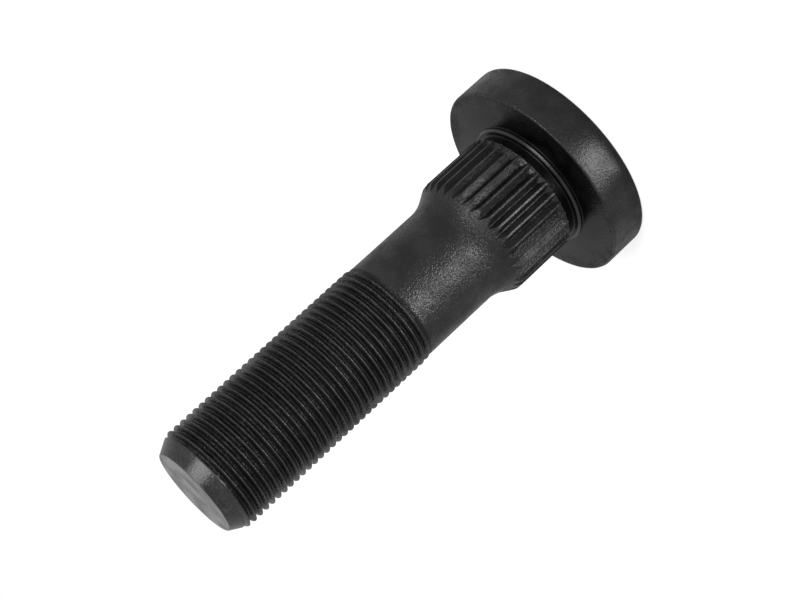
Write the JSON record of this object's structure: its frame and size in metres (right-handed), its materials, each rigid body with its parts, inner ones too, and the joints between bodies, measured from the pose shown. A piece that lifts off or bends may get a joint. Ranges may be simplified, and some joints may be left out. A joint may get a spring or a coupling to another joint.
{
  "type": "wheel bolt",
  "caption": "Press-in wheel bolt with a plain disc head, a collar ring, an undercut neck, a band of straight press-in teeth, a flared shoulder, a plain shank and a fine thread with a bevelled tip.",
  "frame": {"origin": "centre of the head's flat outer face, on which the bolt stands", "axes": "+Z along the bolt's axis, from the head to the threaded tip; X and Y are any two directions across it"},
  "size_m": [0.0425, 0.0424, 0.0951],
  "materials": {
    "black_steel": "black phosphate on steel, satin, mottled"
  },
  "bodies": {
    "root": {"wheel_bolt": "black_steel"}
  },
  "joints": []
}
